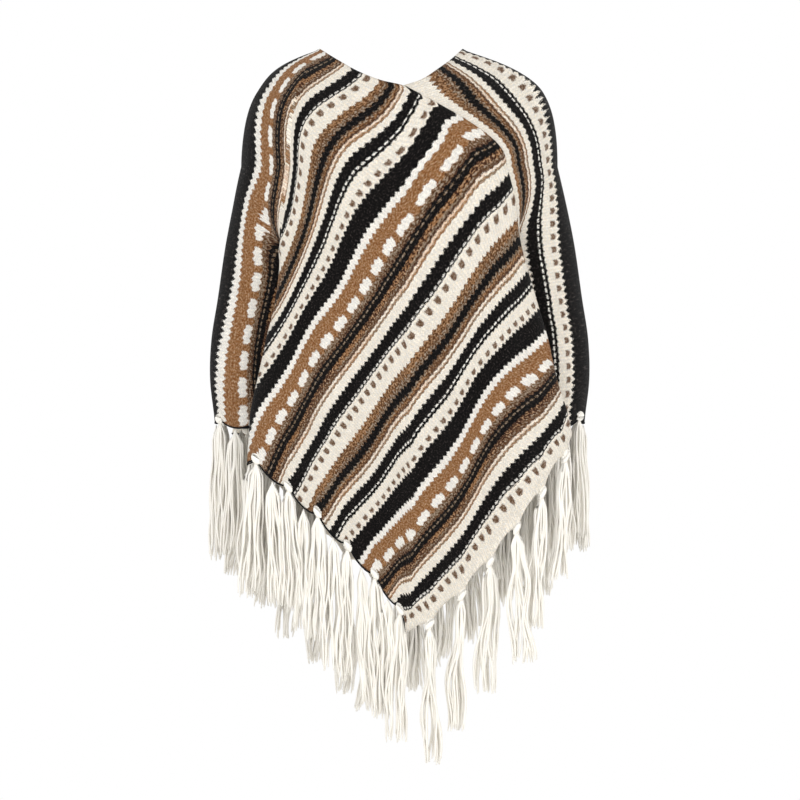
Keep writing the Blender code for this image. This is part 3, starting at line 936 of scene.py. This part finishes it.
def knit_material(name, seed):
    """Acrylic and wool yarn in stockinette stitch: a soft, matt face of small V stitches with a
    fine halo of fibres, so it has a high roughness, a little sheen and no gloss."""
    material, add, finish = start_material(name)

    def spread(value, reach):
        """A noise of mean 1/2 as a swing of mean 0: (value - 1/2) x reach."""
        return add("MULTIPLY", add("SUBTRACT", value, 0.5), reach)

    def power_sum(a, b, power):
        """|a|^power + |b|^power, which is 1 on the edge of a rounded shape."""
        a, b = add("ABSOLUTE", a), add("ABSOLUTE", b)
        return add("ADD", add("POWER", a, power), add("POWER", b, power))

    # The yarn's place: u and v in mm, and a small wander so that no line of stitches is straight.
    uv = add("ShaderNodeUVMap", uv_map="yarn_mm")
    flat_noise = partial(add, "ShaderNodeTexNoise", uv, None, noise_dimensions="2D")
    wander = flat_noise(WANDER, 2.0)
    fuzz = flat_noise(FUZZ, 2.0)
    patch = flat_noise(PATCH, 1.0)
    speck = flat_noise(SPECK, 1.0)
    split = add("ShaderNodeSeparateXYZ", uv)
    fuzz_split = add("ShaderNodeSeparateXYZ", fuzz.outputs[1])
    u = add("ADD", split.outputs[0], spread(fuzz_split.outputs[0], FUZZ_U))
    v = add("ADD", split.outputs[1], spread(wander, WANDER_REACH))
    v = add("MAXIMUM", add("ADD", v, spread(fuzz_split.outputs[1], FUZZ_V)), EDGE_REST)

    # Stitches: the wale across, the leg's share of it, and the course the leg slants through.
    wale = add("DIVIDE", u, WALE)
    leg = add("ABSOLUTE", add("SUBTRACT", add("FRACT", wale), 0.5))
    level = add("FLOORED_MODULO", add("DIVIDE", v, COURSE), COURSES)
    level_share = add("DIVIDE", level, COURSES)
    slant_stops = [(course, (share, share, share, 1.0)) for course, share in SLANT]
    slant = course_ramp(add, level_share, slant_stops, "LINEAR")
    rise = add("MULTIPLY", add("MULTIPLY", add("SUBTRACT", leg, 0.25), LEG), slant)
    course = add("FLOORED_MODULO", add("SUBTRACT", level, rise), COURSES)
    row = add("FLOOR", course)
    share = add("DIVIDE", add("ADD", row, 0.5), COURSES)
    stitch = add("FLOOR", add("MULTIPLY", wale, 2.0))
    cell = add("ShaderNodeCombineXYZ", stitch, row, seed)
    dice = add("ShaderNodeTexWhiteNoise", cell, noise_dimensions="3D")

    # The chart's yarns, and where the second yarn shows.
    ground = course_ramp(add, share, [(c[0], linear(YARNS[c[1]])) for c in CHART], "CONSTANT")
    second = course_ramp(add, share, [(c[0], linear(YARNS[c[2]])) for c in CHART], "CONSTANT")
    codes = [(c[0], (WAYS.index(c[3]) / 10, c[4] / COURSES, c[5] / 10, 1.0)) for c in CHART]
    code = add("ShaderNodeSeparateColor", course_ramp(add, share, codes, "CONSTANT"))
    middle = add("MULTIPLY", code.outputs[1], COURSES)
    half = add("MULTIPLY", code.outputs[2], 10.0)
    across = add("MULTIPLY", leg, 2.0)
    slanted = add("DIVIDE", add("SUBTRACT", course, middle), half)
    straight = add("DIVIDE", add("SUBTRACT", level, middle), half)
    every_second = add("LESS_THAN", add("FLOORED_MODULO", wale, 2.0), 1.0)
    bar = power_sum(across, add("MULTIPLY", add("ADD", slanted, straight), 0.5), 4.0)
    bead = power_sum(add("DIVIDE", across, 0.72), straight, 2.0)
    oval_across = add("DIVIDE", add("SUBTRACT", add("FLOORED_MODULO", wale, 4.0), 1.5), 1.45)
    oval = power_sum(oval_across, slanted, 4.0)
    mottled = add("ADD", add("MULTIPLY", dice, 0.6), spread(patch, 1.8))
    mottled = add("ADD", mottled, spread(speck, 3.6))
    # way, value, where the second yarn begins to show and shows in full, and how strongly
    masks = (
        ("bars", bar, 1.5, 0.3, add("MULTIPLY", every_second, 0.95)),
        ("beads", bead, 1.15, 0.75, 1.0),
        ("ovals", oval, 1.15, 0.80, 1.0),
        ("marl", mottled, 0.10, 0.50, 0.9),
    )
    total = 0.0
    for way, value, begin, full, strength in masks:
        shown = add(
            "ShaderNodeMapRange", value, begin, full, 0.0, 1.0, interpolation_type="SMOOTHSTEP"
        )
        chosen = add("COMPARE", code.outputs[0], WAYS.index(way) / 10, 0.03)
        total = add("MULTIPLY_ADD", add("MULTIPLY", shown, strength), chosen, total)
    sockets = {0: total, 6: ground, 7: second}
    colour = add("ShaderNodeMix", data_type="RGBA", sockets=sockets).outputs[2]

    # Heather: single fibres of the darker yarns catch or lose the light, the pale ones hardly.
    colour = add("ShaderNodeGamma", colour, add("ADD", 1.0, spread(speck, 1.7)))

    # Relief: each leg bulges along its course, with grooves between legs and wales, and fibres.
    bulge = add("SINE", add("MULTIPLY", add("FRACT", course), np.pi))
    ribs = add("SINE", add("MULTIPLY", add("FRACT", add("MULTIPLY", wale, 2.0)), np.pi))
    round_leg = add("MULTIPLY_ADD", add("POWER", ribs, 0.6), 0.6, 0.4)
    relief = add("MULTIPLY", add("POWER", bulge, 0.6), round_leg)
    fibre_place = add("ShaderNodeVectorMath", uv, (0.9, 2.2, 1.0), operation="MULTIPLY")
    fibres = add("ShaderNodeTexNoise", fibre_place, None, 1.0, 3.0)
    height = add("MULTIPLY_ADD", fibres, 0.4, relief)

    # Painted shade and tone: the colour is darkened in the grooves between legs and wales, where
    # shade falls, and single legs are a little off in tone at random.
    painted_shade_and_tone = add("MULTIPLY_ADD", relief, 0.40, 0.64)
    painted_shade_and_tone = add("MULTIPLY", painted_shade_and_tone, add("ADD", 1.0, spread(speck, 0.35)))
    painted_shade_and_tone = add("MULTIPLY", painted_shade_and_tone, add("ADD", 1.0, spread(dice, 0.14)))
    shaded = add("ShaderNodeVectorMath", colour, operation="SCALE", sockets={"Scale": painted_shade_and_tone})
    sockets = {"Strength": 0.6, "Distance": 0.0014, "Height": height}
    bump = add("ShaderNodeBump", sockets=sockets)
    finish({"Base Color": shaded, "Normal": bump, "Roughness": 0.95, "Specular IOR Level": 0.12})
    finish({"Sheen Weight": 0.05, "Sheen Roughness": 0.5})
    return material


def strand_material(name, hex_colour, shade_hex):
    """Plied acrylic yarn: matt and soft, with the plies winding round the strand and a little
    colour change from strand to strand."""
    material, add, finish = start_material(name)
    split = add("ShaderNodeSeparateXYZ", add("ShaderNodeUVMap", uv_map="yarn_mm"))
    around = add("DIVIDE", split.outputs[0], PLY_GIRTH)
    wound = add("ADD", around, add("DIVIDE", split.outputs[1], PLY_TURN))
    ply = add("ABSOLUTE", add("SINE", add("MULTIPLY", wound, 2 * np.pi)))
    place = add("ShaderNodeTexCoord").outputs["Object"]
    patches = add("ShaderNodeTexNoise", place, None, STRAND_PATCH, 2.0)
    # Painted shade: the colour runs towards the shade colour in the grooves between the plies, where
    # shade falls; the patches are a real change of tone from strand to strand.
    ply_shade_and_patches = add("MULTIPLY", add("ADD", add("MULTIPLY", ply, 0.45), patches), 0.75)
    sockets = {0: ply_shade_and_patches, 6: linear(shade_hex), 7: linear(hex_colour)}
    colour = add("ShaderNodeMix", data_type="RGBA", sockets=sockets).outputs[2]
    sockets = {"Strength": 0.6, "Distance": 0.0006, "Height": ply}
    bump = add("ShaderNodeBump", sockets=sockets)
    finish({"Base Color": colour, "Normal": bump, "Roughness": 0.9, "Specular IOR Level": 0.15})
    return material


def floor_material():
    """Matt white studio paper."""
    material, add, finish = start_material("matt white studio paper")
    place = add("ShaderNodeTexCoord").outputs["Object"]
    grain = add("ShaderNodeTexNoise", place, None, 40.0, 2.0)
    sockets = {0: grain, 6: linear("F4F4F4"), 7: linear("F7F7F7")}
    colour = add("ShaderNodeMix", data_type="RGBA", sockets=sockets).outputs[2]
    finish({"Base Color": colour, "Roughness": 1.0})
    return material


# ------------------------ building
def build_garment():
    """Both panels, each with its edge yarn and its two fringes."""
    stations = line_stations()
    point = int(np.argmin(np.abs(stations - POINT_STATION)))
    fringe_yarn = strand_material("plied cream acrylic yarn", "FFFCF5", "FBF6EB")
    edge_yarn = strand_material("plied black acrylic yarn", "121216", "0B0B0E")
    for label, turn, seed in (("a", np.array, 3), ("b", half_turn, 8)):
        surface = panel_surface(stations, label)
        normals = surface_normals(surface)
        dressed, places = dress_panel(label, stations, point, surface, normals)
        cloth = knit_material("striped stockinette knit " + label, float(seed))
        panel = make_panel(label, dressed, normals, places, turn, cloth)
        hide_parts("panel_" + label)

        hem, out = dressed[:, -1], normals[:, -1]
        hang = unit(surface[:, -1] - surface[:, -2])
        path = (hem + (out + hang) * EDGE_YARN_OFFSET)[None, point:]
        radii = np.full(path.shape[:2], EDGE_YARN_RADIUS)
        radii[:, [0, -1]] *= EDGE_YARN_TIP
        points, quads, uv = tube_arrays(path, radii, EDGE_YARN_SIDES)
        edge = make_piece("edge_yarn_" + label, turn(points), quads, uv, edge_yarn)

        random = np.random.default_rng(FRINGE_SEED + seed)
        for side, part in (("end", slice(0, point + 1)), ("side", slice(point, None))):
            run = distance_along(surface[part, -1], 0)
            fringe = fringe_arrays(run, hem[part], hang[part], out[part], side, random)
            points, quads, uv = fringe
            name = label + "_" + side
            fringe = make_piece("fringe_yarn_" + name, turn(points), quads, uv, fringe_yarn)
            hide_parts("fringe_" + name)


# name, place, size in metres, watts
LAMPS = (
    ("key_lamp", (-2.2, -4.2, 1.8), 2.6, 52.0),
    ("fill_lamp", (2.8, -3.8, 0.4), 2.6, 30.0),
    ("back_lamp", (0.6, 4.6, 1.6), 3.0, 52.0),
    ("low_lamp", (0.9, -2.6, -1.15), 1.6, 9.0),
)
LAMP_AIM = (0.0, 0.0, -0.45)
FLOOR_RADIUS, FLOOR_HEIGHT, FLOOR_SIDES = 4.0, -1.40, 64
# The sky is a little darker as light than it looks to the camera, so that folds keep their shade.
SKY_LIGHT, SKY_SEEN = 0.94, 1.0


def build_stage():
    """Pale floor disc under the hanging garment, four wide soft lamps and an even sky."""
    angle = np.linspace(0, 2 * np.pi, FLOOR_SIDES, endpoint=False)
    x, y = FLOOR_RADIUS * np.cos(angle), FLOOR_RADIUS * np.sin(angle)
    ring = np.stack([x, y, np.full(FLOOR_SIDES, FLOOR_HEIGHT)], axis=-1)
    mesh = bpy.data.meshes.new("studio_floor")
    mesh.from_pydata(ring.tolist(), [], [list(range(FLOOR_SIDES))])
    mesh.materials.append(floor_material())
    floor = bpy.data.objects.new("studio_floor", mesh)
    bpy.context.collection.objects.link(floor)

    for name, place, size, power in LAMPS:
        light = bpy.data.lights.new(name, "AREA")
        light.size = size
        light.energy = power
        lamp = bpy.data.objects.new(name, light)
        lamp.location = place
        lamp.rotation_mode = "QUATERNION"
        aim = Vector(LAMP_AIM) - Vector(place)
        lamp.rotation_quaternion = aim.to_track_quat("-Z", "Y")
        bpy.context.collection.objects.link(lamp)

    world = bpy.data.worlds.new("studio_sky")
    bpy.context.scene.world = world
    world.use_nodes = True
    tree = world.node_tree
    camera_ray = node(tree, "ShaderNodeLightPath").outputs["Is Camera Ray"]
    sockets = {0: camera_ray, 2: SKY_LIGHT, 3: SKY_SEEN}
    strength = node(tree, "ShaderNodeMix", data_type="FLOAT", sockets=sockets)
    sky = {"Color": (1.0, 1.0, 1.0, 1.0), "Strength": strength}
    plug(tree, tree.nodes["Background"], sky)
    bpy.context.scene.view_settings.view_transform = "Standard"


def build_camera():
    """Level camera straight in front, 8 m away, that frames 1.16 m at the garment."""
    distance, frame_width, height = 8.0, 1.16, -0.5075
    camera = bpy.data.cameras.new("camera")
    camera.sensor_width = 36.0
    camera.lens = camera.sensor_width * distance / frame_width
    viewer = bpy.data.objects.new("camera", camera)
    viewer.location = (0.0, -distance, height)
    viewer.rotation_euler = (np.pi / 2, 0.0, 0.0)
    bpy.context.collection.objects.link(viewer)
    bpy.context.scene.camera = viewer


build_camera()
build_stage()
build_garment()
